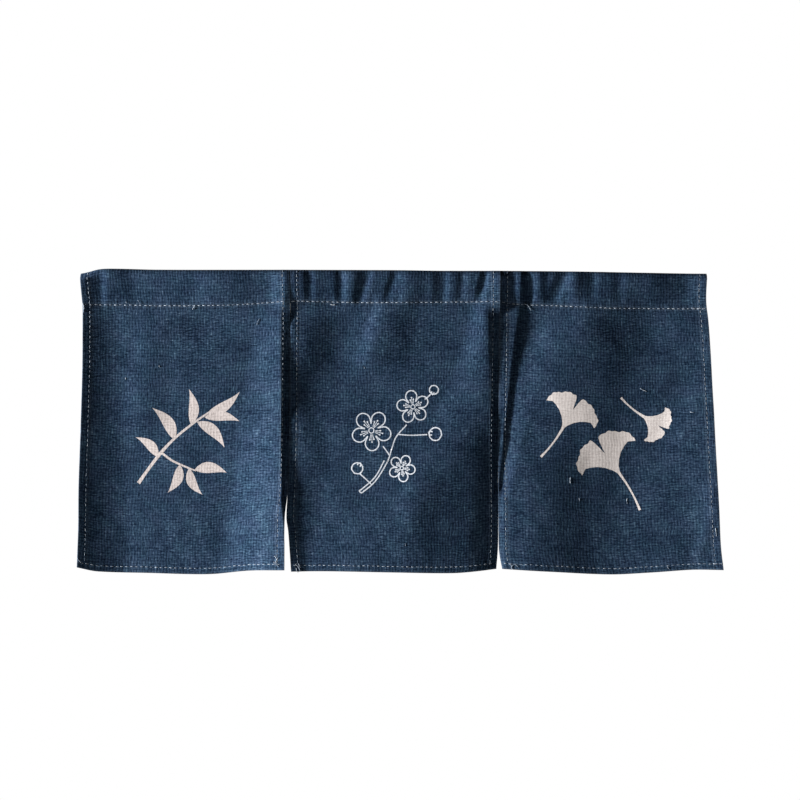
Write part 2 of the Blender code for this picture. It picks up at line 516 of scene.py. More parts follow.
def smooth_path(points: list[tuple], steps: int = 6) -> list[tuple]:
    """Rounds a path of (x, y, width) points into a soft curve through them.

    Args:
        points: the path's points.
        steps: how many pieces each stretch is cut into.

    Returns:
        The points of the curve.
    """
    vectors = [Vector(p) for p in points]
    ends = [vectors[0] * 2 - vectors[1]] + vectors + [vectors[-1] * 2 - vectors[-2]]
    path = []
    for index in range(1, len(ends) - 2):
        a, b, c, d = ends[index - 1:index + 3]
        for step in range(steps):
            t = step / steps
            path.append(0.5 * (2 * b + (c - a) * t + (2 * a - 5 * b + 4 * c - d) * t * t + (3 * b - a - 3 * c + d) * t ** 3))
    path.append(vectors[-1])
    return [tuple(p) for p in path]


def stroke_outlines(points: list[tuple]) -> list[list[Point]]:
    """Turns a path of (x, y, width) points into the short four-sided pieces of a brush stroke.

    Args:
        points: the path's points.

    Returns:
        The outline of each piece, which meets its neighbours.
    """
    path = smooth_path(points)
    sides = []
    for index, (x, y, width) in enumerate(path):
        before_it, past_it = path[max(index - 1, 0)], path[min(index + 1, len(path) - 1)]
        along = Vector((past_it[0] - before_it[0], past_it[1] - before_it[1])).normalized()
        side = Vector((-along.y, along.x)) * width * 0.5
        sides.append(((x + side.x, y + side.y), (x - side.x, y - side.y)))
    pieces = []
    for a, b in zip(sides, sides[1:]):
        corners = [a[0], b[0], b[1], a[1]]
        hull = convex_hull_2d([Vector(corner) for corner in corners])
        if len(hull) > 2:
            pieces.append([corners[index] for index in hull])
    return pieces


def fan_leaf(base: Point, radius: float, turn: float, spread: float, notch: float) -> list[list[Point]]:
    """Draws a fan-shaped leaf with a wavy rim, a cleft in its middle and a curved stalk.

    Args:
        base: where the blade joins its stalk.
        radius: the length of the blade.
        turn: the direction of its middle, in degrees.
        spread: the angle between its two sides, in degrees.
        notch: the depth of the cleft, as a share of the blade's length.

    Returns:
        The outlines of the blade and of the stalk's pieces.
    """
    half = 0.5 * spread
    sides = [(share, half * (0.36 + 0.64 * share ** 1.3)) for share in (0.04, 0.2, 0.36, 0.52, 0.66, 0.77)]
    polar = [(share, -swing) for share, swing in sides]
    steps = 80
    for step in range(steps + 1):
        lobe = 2.0 * step / steps - 1.0
        cleft = notch * math.exp(-((lobe / 0.055) ** 2))
        rounded = 0.09 * abs(lobe) ** 3 + 0.07 * abs(lobe) ** 14
        wave = 0.016 * math.sin(17.0 * lobe + turn) + 0.010 * math.sin(41.0 * lobe)
        polar.append((1.0 - cleft - rounded + wave, half * lobe))
    polar += [(share, swing) for share, swing in reversed(sides)]
    rim = []
    for share, swing in polar:
        angle = math.radians(turn + swing)
        rim.append((base[0] + radius * share * math.cos(angle), base[1] + radius * share * math.sin(angle)))
    back = math.radians(turn + 180.0)
    stalk = []
    for share, width in ((-0.10, 4.2), (0.02, 3.2), (0.3, 2.4), (0.62, 2.2), (0.9, 3.2)):
        sway = 0.16 * radius * share * share
        x = base[0] + radius * share * math.cos(back) - sway * math.sin(back)
        y = base[1] + radius * share * math.sin(back) + sway * math.cos(back)
        stalk.append((x, y, width))
    return [rim] + stroke_outlines(stalk)


@dataclass(frozen=True)
class BambooSpray:
    """A spray of bamboo leaves in solid pigment, on two jointed twigs."""

    twigs: tuple = (
        ((80, 240, 5.0), (92, 222, 4.0), (108, 200, 4.4), (126, 180, 3.4), (150, 160, 3.0), (176, 142, 2.2)),
        ((110, 198, 3.2), (124, 208, 2.8), (142, 216, 2.4), (158, 222, 1.8)),
    )
    leaves: tuple = (
        ((172, 145), (216, 118), 14, 5),
        ((168, 150), (216, 158), 14, -5),
        ((158, 156), (196, 192), 15, -6),
        ((150, 160), (146, 112), 14, 5),
        ((128, 180), (96, 138), 16, 6),
        ((106, 204), (74, 178), 13, 5),
        ((136, 214), (120, 252), 14, -5),
        ((156, 220), (200, 226), 15, -5),
        ((148, 219), (168, 254), 13, 5),
    )

    def outlines(self) -> list[list[Point]]:
        """Gives the outlines to print."""
        pieces = [leaf_outline(*leaf) for leaf in self.leaves]
        for twig in self.twigs:
            pieces += stroke_outlines(list(twig))
        return pieces


@dataclass(frozen=True)
class BlossomSprig:
    """A sprig of five-petalled blossom and buds, drawn in one thin line."""

    line: float = 1.6
    blossoms: tuple = ((112, 172, 27, 14), (168, 140, 22, 44), (154, 222, 18, 80))
    buds: tuple = ((198, 176, 8.5, 10), (94, 222, 7.5, 120), (196, 118, 6, -70))
    branches: tuple = (
        ((100, 256), (118, 240), (134, 214), (140, 196), (146, 180), (160, 164)),
        ((137, 205), (132, 198), (128, 193)),
        ((148, 177), (166, 178), (188, 177)),
        ((113, 244), (104, 236), (97, 230)),
        ((184, 130), (189, 126), (192, 123)),
        ((100, 256), (97, 253), (101, 250), (118, 234), (130, 212)),
    )

    def ring(self, x: float, y: float, size: float) -> list[list[Point]]:
        """Draws a small closed ring."""
        loop = []
        for step in range(9):
            angle = math.radians(45.0 * step)
            loop.append((x + size * math.cos(angle), y + size * math.sin(angle), self.line * 0.9))
        return stroke_outlines(loop)

    def blossom(self, x: float, y: float, size: float, turn: float) -> list[list[Point]]:
        """Draws a blossom: five round petals that overlap, an eye and its stamens.

        Args:
            x: the blossom's middle, across.
            y: its middle, down.
            size: its radius.
            turn: how far it is turned, in degrees.

        Returns:
            The outlines of its lines.
        """
        pieces = self.ring(x, y, 0.13 * size)
        for petal in range(5):
            middle = math.radians(turn + 72.0 * petal)
            loop = []
            for share in (0.0, 0.08, 0.2, 0.35, 0.5, 0.65, 0.8, 0.92, 1.0):
                angle = middle + math.radians(72.0 * (share - 0.5))
                reach = size * (0.34 + 0.66 * math.sin(math.pi * share) ** 0.5)
                loop.append((x + reach * math.cos(angle), y + reach * math.sin(angle), self.line))
            pieces += stroke_outlines(loop)
            for side, far in ((-13.0, 0.44), (0.0, 0.56), (13.0, 0.46)):
                angle = middle + math.radians(side)
                stamen = [
                    (x + size * reach * math.cos(angle), y + size * reach * math.sin(angle), width)
                    for reach, width in ((0.20, 0.9), (far - 0.06, 0.9), (far, 1.9), (far + 0.05, 1.7))
                ]
                pieces += stroke_outlines(stamen)
        return pieces

    def bud(self, x: float, y: float, size: float, turn: float) -> list[list[Point]]:
        """Draws a bud: a closed round with two short sepals at its foot.

        Args:
            x: the bud's middle, across.
            y: its middle, down.
            size: its radius.
            turn: the direction of its tip, in degrees.

        Returns:
            The outlines of its lines.
        """
        loop = []
        for step in range(9):
            angle = math.radians(turn + 45.0 * step)
            reach = size * (1.0 + 0.16 * math.cos(math.radians(45.0 * step)))
            loop.append((x + reach * math.cos(angle), y + reach * math.sin(angle), self.line))
        pieces = stroke_outlines(loop)
        for side in (-1.0, 1.0):
            sepal = []
            for reach, swing in ((1.0, 0.0), (0.75, 22.0), (0.45, 34.0)):
                angle = math.radians(turn + 180.0 + side * swing)
                sepal.append((x + size * reach * math.cos(angle), y + size * reach * math.sin(angle), self.line))
            pieces += stroke_outlines(sepal)
        return pieces

    def outlines(self) -> list[list[Point]]:
        """Gives the outlines to print."""
        pieces = []
        for blossom in self.blossoms:
            pieces += self.blossom(*blossom)
        for bud in self.buds:
            pieces += self.bud(*bud)
        for branch in self.branches:
            pieces += stroke_outlines([(x, y, self.line) for x, y in branch])
        return pieces


@dataclass(frozen=True)
class FanLeaves:
    """Three fan-shaped ginkgo leaves in solid pigment, as they fall."""

    leaves: tuple = (
        ((84, 168), 52, -62, 112, 0.40),
        ((160, 226), 60, -124, 118, 0.44),
        ((190, 146), 40, 34, 104, 0.36),
    )

    def outlines(self) -> list[list[Point]]:
        """Gives the outlines to print."""
        pieces = []
        for leaf in self.leaves:
            pieces += fan_leaf(*leaf)
        return pieces


# The panels.


class Face(Enum):
    """The two faces of the cloth: the one that shows at the front, and the other."""

    OUTER = 1
    INNER = -1


@dataclass
class Panel:
    """One panel: a length of cloth that hangs from its pocket in folds.

    A place on the cloth is u, millimetres across from the left edge, and v, millimetres down from the
    heading's seam. Up the front of the pocket, over the rod and down the back, v is negative.
    """

    name: str
    node: str
    left_edge: Curve
    right_edge: Curve
    top_edge: Curve
    seam: Curve
    foot: Curve
    folds: list[Fold]
    creases: list[Fold]
    puckers: list[Fold]
    design: object
    seed: float
    width: float = 285.0
    drop_length: float = 361.0
    front_length: float = 36.0
    over_length: float = 28.6
    back_length: float = 39.0
    pocket_radius: float = 8.0
    flap_lap: float = 3.0
    side_hem: float = 9.5
    foot_hem: float = 8.0
    hem_edge: float = 2.4
    cloth: float = 0.7
    hem_cloth: float = 1.9
    flap_cloth: float = 1.2
    share_at_rod: float = 0.35
    folds_full_at: float = 85.0
    step: float = 2.6
    cut_size: Point = (0.316, 0.487)
    outlines: list = field(default_factory=list)

    @property
    def flap_end(self) -> float:
        """The place of the flap's turned end, behind the seam."""
        return -(self.front_length + self.over_length + self.back_length)

    def held_share(self, depth: float) -> float:
        """Gives the share of a fold's height that is left at a depth below the rod's axis."""
        free = ease(depth / (self.folds_full_at - self.pocket_radius))
        return mix(self.share_at_rod, 1.0, free)

    def relief(self, x: float, z: float, depth: float) -> float:
        """Gives how far the cloth stands forward at a place.

        Args:
            x: the place across.
            z: its height.
            depth: how far it is below the rod's axis.

        Returns:
            The distance forward.
        """
        hanging = sum(fold.height(x, z) for fold in self.folds)
        hanging += sum(crease.height(x, z) for crease in self.creases)
        pinched = sum(pucker.height(x, z) for pucker in self.puckers)
        wrinkle = 0.55 * noise.noise(Vector((x / 46.0, z / 62.0, self.seed)))
        wrinkle += 0.16 * noise.noise(Vector((x / 17.0, z / 21.0, self.seed + 9.0)))
        return (hanging + wrinkle) * self.held_share(max(depth, 0.0)) + pinched

    def across(self, u: float, z: float) -> float:
        """Gives the x of a place that is u across the cloth, at a height."""
        left, right = read_curve(self.left_edge, z), read_curve(self.right_edge, z)
        if u <= self.side_hem:
            return left + u
        if u >= self.width - self.side_hem:
            return right - (self.width - u)
        share = (u - self.side_hem) / (self.width - 2.0 * self.side_hem)
        return mix(left + self.side_hem, right - self.side_hem, share)

    def thickness(self, u: float, v: float) -> float:
        """Gives the cloth's thickness, which is greater in the hems and in the turned flap."""
        from_side = min(u, self.width - u)
        from_foot = self.drop_length - v
        thick = self.cloth
        if v < self.flap_end + 9.0:
            thick = self.flap_cloth
        inside = min(from_side - self.side_hem, from_foot - self.foot_hem)
        thick = mix(self.hem_cloth, thick, ease((inside - 1.2) / 1.2))
        rolled = ease(min(from_side, from_foot, v - self.flap_end) / 1.6)
        return mix(0.55 * thick, thick, rolled)

    def sewing_relief(self, u: float, v: float) -> float:
        """Gives the small pinch and the ripples that the stitches make in the cloth's face.

        Args:
            u: the place across the cloth.
            v: the place down it.

        Returns:
            The distance forward.
        """
        from_side = min(u, self.width - u)
        lines = ((from_side - self.side_hem, v), (self.drop_length - v - self.foot_hem, u), (abs(v), u))
        raised = 0.0
        for distance, along in lines:
            raised -= 0.30 * math.exp(-((distance / 1.3) ** 2))
            phase = along / 10.5 + 0.8 * noise.noise(Vector((along / 40.0, self.seed, 3.0)))
            raised += 0.16 * math.sin(math.tau * phase) * math.exp(-abs(distance) / 5.0)
        inside = min(from_side - self.side_hem, self.drop_length - v - self.foot_hem)
        raised += 0.30 * (1.0 - ease((inside - 1.2) / 1.4))
        return raised

    def outer_face(self, u: float, v: float) -> Vector:
        """Gives the place in space of a point of the cloth's outer face, in millimetres.

        Args:
            u: the place across the cloth.
            v: the place down it.

        Returns:
            The point.
        """
        x = self.across(u, self.rough_height(v))
        top, seam = read_curve(self.top_edge, x), read_curve(self.seam, x)
        skin = self.cloth / 2.0
        radius = self.pocket_radius + skin
        axis = top - self.pocket_radius
        drop = axis - seam
        touch = math.asin(self.pocket_radius / drop)
        touch_z = axis - radius * math.sin(touch)
        pinch = self.sewing_relief(u, v)
        if v >= 0.0:
            z = mix(seam, read_curve(self.foot, x), v / self.drop_length)
            return Vector((x, -self.relief(x, z, axis - z) - skin - pinch, z))
        if v >= -self.front_length:
            share = 1.0 + v / self.front_length
            z = mix(touch_z, seam, share)
            y = mix(-radius * math.cos(touch), -skin, share) - self.relief(x, z, axis - z)
            return Vector((x, y - pinch, z))
        if v >= -self.front_length - self.over_length:
            share = 1.0 + (v + self.front_length) / self.over_length
            angle = mix(-touch, math.pi + touch, share)
            z = axis + radius * math.sin(angle)
            y = radius * math.cos(angle) - self.relief(x, z, axis - z) * share * share
            return Vector((x, y - pinch * math.copysign(share * share, 1.0), z))
        share = (v - self.flap_end) / self.back_length
        z = mix(seam - self.flap_lap, touch_z, share)
        lap = self.thickness(u, 12.0) - skin + self.thickness(u, self.flap_end + 4.0) + 0.06
        if z <= seam:
            return Vector((x, lap - self.relief(x, z, axis - z) - self.sewing_relief(u, 12.0), z))
        rise = (z - seam) / (touch_z - seam)
        sewn = lap - self.relief(x, seam, drop) - self.sewing_relief(u, 12.0)
        return Vector((x, mix(sewn, radius * math.cos(touch), rise), z))

    def rough_height(self, v: float) -> float:
        """Gives the height of a place down the cloth, at the panel's middle."""
        if v >= 0.0:
            return mix(-46.0, -405.0, v / self.drop_length)
        if v >= -self.front_length:
            return mix(-10.0, -46.0, 1.0 + v / self.front_length)
        if v >= -self.front_length - self.over_length:
            return -4.0
        return mix(-49.0, -10.0, (v - self.flap_end) / self.back_length)

    def locate(self, x: float, z: float) -> Point:
        """Gives the place on the flat cloth of a point on the panel's front.

        Args:
            x: the point's place across.
            z: its height.

        Returns:
            How far it is across the cloth and down it.
        """
        left, right = read_curve(self.left_edge, z), read_curve(self.right_edge, z)
        seam = read_curve(self.seam, x)
        if z <= seam:
            v = self.drop_length * (seam - z) / (seam - read_curve(self.foot, x))
        else:
            v = self.front_length * (z - seam) / (seam + 10.0)
        return (self.width * (x - left) / (right - left), v)

    def normal(self, u: float, v: float) -> Vector:
        """Gives the direction that the outer face looks in, at a place on the cloth."""
        reach = 0.8
        right = self.outer_face(u + reach, v) - self.outer_face(u - reach, v)
        down = self.outer_face(u, v + reach) - self.outer_face(u, v - reach)
        return down.cross(right).normalized()

    def columns(self) -> list[float]:
        """Lists the places of the mesh's columns, close together in the hems."""
        hem = [0.0, 0.7, 1.8, 3.6, 5.8, 7.8, 8.8, 9.5, 10.2, 11.0, 12.0, 13.2]
        count = round((self.width - 2.0 * hem[-1]) / self.step)
        between = [mix(hem[-1], self.width - hem[-1], i / count) for i in range(1, count)]
        return hem + between + [self.width - place for place in reversed(hem)]

    def rows(self) -> list[float]:
        """Lists the places of the mesh's rows, from the flap's end up, over the rod and down."""
        low = self.flap_end
        rows = [low, low + 0.8, low + 2.0, low + 3.0]
        rows += [mix(low + 3.0, -self.front_length - self.over_length, i / 13) for i in range(1, 13)]
        rows += [mix(-self.front_length - self.over_length, -self.front_length, i / 14) for i in range(14)]
        rows += [mix(-self.front_length, -2.4, i / 13) for i in range(14)]
        rows += [-1.2, 0.0, 1.2, 2.4]
        hem = [self.drop_length - place for place in (12.0, 11.0, 10.2, 9.0, 8.0, 7.0, 5.0, 3.2, 1.6, 0.7, 0.0)]
        count = round((hem[0] - 2.4) / self.step)
        rows += [mix(2.4, hem[0], i / count) for i in range(1, count)]
        return rows + hem

    def flat_mesh(self) -> tuple[list[Point], list[list[int]], set[int]]:
        """Lays the cloth out flat as a grid, with the print's outlines cut into it.

        Returns:
            The points, the faces and the numbers of the printed faces.
        """
        columns, rows = self.columns(), self.rows()
        points = [(u, v) for v in rows for u in columns]
        across = len(columns)
        edge = [point for outline in self.outlines for point in outline]
        first_column = sum(u < min(p[0] for p in edge) for u in columns) - 1
        last_column = len(columns) - sum(u > max(p[0] for p in edge) for u in columns)
        first_row = sum(v < min(p[1] for p in edge) for v in rows) - 1
        last_row = len(rows) - sum(v > max(p[1] for p in edge) for v in rows)
        faces = []
        for row in range(len(rows) - 1):
            for column in range(across - 1):
                if first_row <= row < last_row and first_column <= column < last_column:
                    continue
                corner = row * across + column
                faces.append([corner, corner + across, corner + across + 1, corner + 1])

        block = [
            row * across + column
            for row in range(first_row, last_row + 1)
            for column in range(first_column, last_column + 1)
        ]
        wide, high = last_column - first_column + 1, last_row - first_row + 1
        rim = list(range(wide)) + [row * wide + wide - 1 for row in range(1, high)]
        rim += [(high - 1) * wide + column for column in range(wide - 2, -1, -1)]
        rim += [row * wide for row in range(high - 2, 0, -1)]
        flat = [Vector(points[index]) for index in block]
        shapes = [rim]
        for outline in self.outlines:
            shapes.append(list(range(len(flat), len(flat) + len(outline))))
            flat += [Vector(point) for point in outline]
        cut = delaunay_2d_cdt(flat, [], shapes, 0, 1e-4, True)
        places, _, triangles, origins, _, owners = cut
        numbers = []
        for place, origin in zip(places, origins):
            kept = [index for index in origin if index < len(block)]
            if kept:
                numbers.append(block[kept[0]])
            else:
                numbers.append(len(points))
                points.append((place.x, place.y))
        printed = set()
        for triangle, owner in zip(triangles, owners):
            corners = [numbers[index] for index in reversed(triangle)]
            if len(set(corners)) < 3:
                continue
            if any(index > 0 for index in owner):
                printed.add(len(faces))
            faces.append(corners)
        return points, faces, printed

    def wear(self, u: float, v: float) -> float:
        """Gives how worn the cloth is: most at its edges and at the turned top."""
        from_edge = min(u, self.width - u, self.drop_length - v, v - self.flap_end)
        over_rod = abs(v + self.front_length + self.over_length / 2.0)
        worn = 0.22 * math.exp(-from_edge / 0.9)
        worn += 0.10 * math.exp(-((over_rod / 4.0) ** 2))
        line = min(abs(min(u, self.width - u) - self.side_hem - self.hem_edge), abs(abs(v) - 1.5))
        return worn + 0.10 * math.exp(-((line / 0.9) ** 2))

    def build(self, cotton: bpy.types.Material, pigment: bpy.types.Material) -> bpy.types.Object:
        """Builds the panel and dresses it.

        Args:
            cotton: the cloth's finish.
            pigment: the print's finish.

        Returns:
            The finished piece.
        """
        self.outlines = [wound_one_way(outline) for outline in self.design.outlines()]
        points, faces, printed = self.flat_mesh()
        mesh = bpy.data.meshes.new(self.name)
        mesh.from_pydata([self.outer_face(u, v) * MM for u, v in points], [], faces)
        mesh.update()
        flat = mesh.uv_layers.new(name=CLOTH_UV)
        for loop in mesh.loops:
            u, v = points[loop.vertex_index]
            flat.data[loop.index].uv = (u / UV_UNIT, -v / UV_UNIT)
        wear = mesh.attributes.new(WEAR_ATTRIBUTE, "FLOAT", "POINT")
        for index, (u, v) in enumerate(points):
            wear.data[index].value = self.wear(u, v)
        for polygon in mesh.polygons:
            polygon.material_index = 1 if polygon.index in printed else 0
        for material in (cotton, pigment, cotton, cotton):
            mesh.materials.append(material)
        mesh.shade_smooth()

        piece = bpy.data.objects.new(self.name, mesh)
        bpy.context.scene.collection.objects.link(piece)
        thick = piece.vertex_groups.new(name="thickness")
        most = 1.02 * self.hem_cloth
        for index, (u, v) in enumerate(points):
            thick.add([index], self.thickness(u, v) / most, "REPLACE")
        wall = piece.modifiers.new("cloth thickness", "SOLIDIFY")
        wall.thickness = most * MM
        wall.offset = -1.0
        wall.vertex_group = thick.name
        wall.material_offset = 2
        bpy.ops.object.select_all(action="DESELECT")
        piece.select_set(True)
        bpy.context.view_layer.objects.active = piece
        bpy.ops.object.modifier_apply(modifier=wall.name)
        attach(piece, BODY)
        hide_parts(self.node)
        log.info("%s: %d faces, %d of them printed", piece.name, len(mesh.polygons), len(printed))
        return piece


# The sewing.


@dataclass
class Sewing:
    """The thread of one panel: its side hems, its foot hem, the heading's seam and its loose ends."""

    panel: Panel
    name: str
    loose_ends: list
    pitch: float = 6.75
    visible: float = 5.9
    radius: float = 0.40
    sides: int = 6
    vertices: list = field(default_factory=list)
    faces: list = field(default_factory=list)

    def add_thread(self, points: list[Vector], radii: list[float]) -> None:
        """Adds a length of thread.

        Args:
            points: the points that it follows, in millimetres.
            radii: its radius at each of them.
        """
        start = len(self.vertices)
        for index, (point, radius) in enumerate(zip(points, radii)):
            along = points[min(index + 1, len(points) - 1)] - points[max(index - 1, 0)]
            side = along.cross(Vector((0.13, 1.0, 0.21))).normalized()
            other = along.cross(side).normalized()
            for corner in range(self.sides):
                angle = math.tau * corner / self.sides
                self.vertices.append((point + radius * (math.cos(angle) * side + math.sin(angle) * other)) * MM)
        for ring in range(len(points) - 1):
            for corner in range(self.sides):
                a = start + ring * self.sides + corner
                b = start + ring * self.sides + (corner + 1) % self.sides
                self.faces.append([a, b, b + self.sides, a + self.sides])
        self.faces.append([start + corner for corner in reversed(range(self.sides))])
        last = start + (len(points) - 1) * self.sides
        self.faces.append([last + corner for corner in range(self.sides)])

    def add_stitch(self, start: Point, end: Point, face: Face, thick: float) -> None:
        """Adds one stitch, whose ends dip into the cloth.

        Args:
            start: where it comes up, on the flat cloth.
            end: where it goes down.
            face: the face of the cloth that it lies on.
            thick: its thickness beside the usual one.
        """
        lifts = (-0.45, 0.16, 0.30, 0.16, -0.45)
        fullness = (0.62, 0.95, 1.0, 0.95, 0.62)
        points = []
        for index, lift in enumerate(lifts):
            share = index / (len(lifts) - 1)
            u, v = mix(start[0], end[0], share), mix(start[1], end[1], share)
            normal = self.panel.normal(u, v)
            base = self.panel.outer_face(u, v)
            if face is Face.INNER:
                base -= normal * self.panel.thickness(u, v)
            points.append(base + normal * lift * face.value)
        self.add_thread(points, [self.radius * thick * full for full in fullness])

    def sew(self, start: Point, end: Point, face: Face, phase: float, thick: float, seed: int) -> None:
        """Sews a straight line of stitches across the flat cloth.

        Args:
            start: where the line starts.
            end: where it ends.
            face: the face of the cloth that the stitches lie on.
            phase: how far along the first stitch starts, as a share of the pitch.
            thick: the thread's thickness beside the usual one.
            seed: sets how the stitches vary.
        """
        vary = random.Random(seed)
        length = math.dist(start, end)
        along = ((end[0] - start[0]) / length, (end[1] - start[1]) / length)
        place = phase * self.pitch
        while place + self.visible < length:
            reach = self.visible * vary.uniform(0.86, 1.03)
            drift = vary.uniform(-0.25, 0.25)
            slant = vary.uniform(-0.3, 0.3)
            first = (start[0] + along[0] * place - along[1] * drift, start[1] + along[1] * place + along[0] * drift)
            far = place + reach
            last = (
                start[0] + along[0] * far - along[1] * (drift + slant),
                start[1] + along[1] * far + along[0] * (drift + slant),
            )
            self.add_stitch(first, last, face, thick * vary.uniform(0.82, 1.12))
            place += self.pitch * vary.uniform(0.97, 1.03)

    def sew_panel(self) -> None:
        """Sews the hems and the heading's seam, on both faces."""
        panel = self.panel
        seed = int(panel.seed)
        foot = panel.drop_length - panel.foot_hem
        for number, u in enumerate((panel.side_hem, panel.width - panel.side_hem)):
            self.sew((u, panel.flap_end + 2.0), (u, foot + 1.0), Face.OUTER, 0.1, 0.64, seed + number)
            self.sew((u, 4.0), (u, foot + 1.0), Face.INNER, 0.6, 0.64, seed + 2 + number)
        self.sew((1.0, 0.0), (panel.width - 1.0, 0.0), Face.OUTER, 0.1, 1.0, seed + 4)
        behind = panel.flap_end + panel.flap_lap
        self.sew((1.0, behind), (panel.width - 1.0, behind), Face.OUTER, 0.6, 1.0, seed + 5)
        self.sew((2.0, foot), (panel.width - 2.0, foot), Face.OUTER, 0.2, 0.8, seed + 6)
        self.sew((2.0, foot), (panel.width - 2.0, foot), Face.INNER, 0.7, 0.8, seed + 7)

    def lay_loose_ends(self) -> None:
        """Lays the knots, the frayed ends and the bits of lint on the cloth's face."""
        for places, lift, thick in self.loose_ends:
            points = []
            for u, v in smooth_flat([self.panel.locate(x, z) for x, z in places]):
                points.append(self.panel.outer_face(u, v) + self.panel.normal(u, v) * lift)
            self.add_thread(points, [self.radius * thick] * len(points))

    def build(self, thread: bpy.types.Material) -> bpy.types.Object:
        """Builds the thread and dresses it.

        Args:
            thread: the thread's finish.

        Returns:
            The finished piece.
        """
        self.sew_panel()
        self.lay_loose_ends()
        mesh = bpy.data.meshes.new(self.name)
        mesh.from_pydata(self.vertices, [], self.faces)
        mesh.update()
        mesh.materials.append(thread)
        mesh.shade_smooth()
        piece = bpy.data.objects.new(self.name, mesh)
        bpy.context.scene.collection.objects.link(piece)
        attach(piece, BODY)
        log.info("%s: %d faces", piece.name, len(mesh.polygons))
        return piece


def smooth_flat(places: list[Point]) -> list[Point]:
    """Rounds a path on the flat cloth into a soft curve through its points."""
    return [(u, v) for u, v, _ in smooth_path([(u, v, 0.0) for u, v in places], 3)]


# The studio.


@dataclass
class Studio:
    """The camera, the lights and the floor."""

    view_height: float = -0.175
    view_side: float = 0.0074
    view_distance: float = 3.0
    lens: float = 100.0
    floor_height: float = -1.25
    floor_half: float = 2.6

    def place_camera(self) -> None:
        """Sets the camera straight in front of the curtain."""
        data = bpy.data.cameras.new("camera")
        data.lens = self.lens
        data.sensor_width = 36.0
        camera = bpy.data.objects.new("camera", data)
        camera.location = (self.view_side, -self.view_distance, self.view_height)
        camera.rotation_euler = (math.radians(90.0), 0.0, 0.0)
        bpy.context.scene.collection.objects.link(camera)
        bpy.context.scene.camera = camera

    def add_softbox(self, name: str, place: tuple, aim: tuple, size: float, power: float) -> None:
        """Adds a square soft light.

        Args:
            name: its name.
            place: where it stands.
            aim: the point that it faces.
            size: the length of its side.
            power: its power in watts.
        """
        data = bpy.data.lights.new(name, "AREA")
        data.size = size
        data.energy = power
        lamp = bpy.data.objects.new(name, data)
        lamp.location = place
        lamp.rotation_euler = (Vector(aim) - Vector(place)).to_track_quat("-Z", "Y").to_euler()
        bpy.context.scene.collection.objects.link(lamp)

    def light(self) -> None:
        """Sets a low light from the left, a weak one behind, and an even pale surround."""
        self.add_softbox("light from the left", (-3.4, -0.70, 0.05), (0.0, 0.0, -0.2), 0.45, 386.0)
        self.add_softbox("light from behind", (1.5, 2.6, 0.3), (0.0, 0.0, -0.2), 1.4, 42.0)
        scene = bpy.context.scene
        world = bpy.data.worlds.new("studio")
        scene.world = world
        world.use_nodes = True
        tree = world.node_tree
        tree.nodes.clear()
        seen = add_node(tree, "ShaderNodeBackground", {"Color": (1.0, 1.0, 1.0, 1.0), "Strength": 1.0})
        cast = add_node(tree, "ShaderNodeBackground", {"Color": (0.94, 0.97, 1.0, 1.0), "Strength": 0.016})
        path = add_node(tree, "ShaderNodeLightPath", {})
        both = add_node(
            tree,
            "ShaderNodeMixShader",
            {0: path.outputs["Is Camera Ray"], 1: cast.outputs[0], 2: seen.outputs[0]},
        )
        add_node(tree, "ShaderNodeOutputWorld", {"Surface": both.outputs[0]})
        scene.view_settings.view_transform = "Standard"

    def lay_floor(self, paint: bpy.types.Material) -> None:
        """Lays the floor, below what the camera sees."""
        bpy.ops.object.select_all(action="DESELECT")
        bpy.ops.mesh.primitive_plane_add(size=2.0 * self.floor_half, location=(0.0, 0.0, 0.0))
        floor = bpy.context.object
        floor.name = "floor"
        for vertex in floor.data.vertices:
            vertex.co.z += self.floor_height
        floor.data.materials.append(paint)

    def build(self, paint: bpy.types.Material) -> None:
        """Builds the studio round the curtain."""
        self.place_camera()
        self.light()
        self.lay_floor(paint)


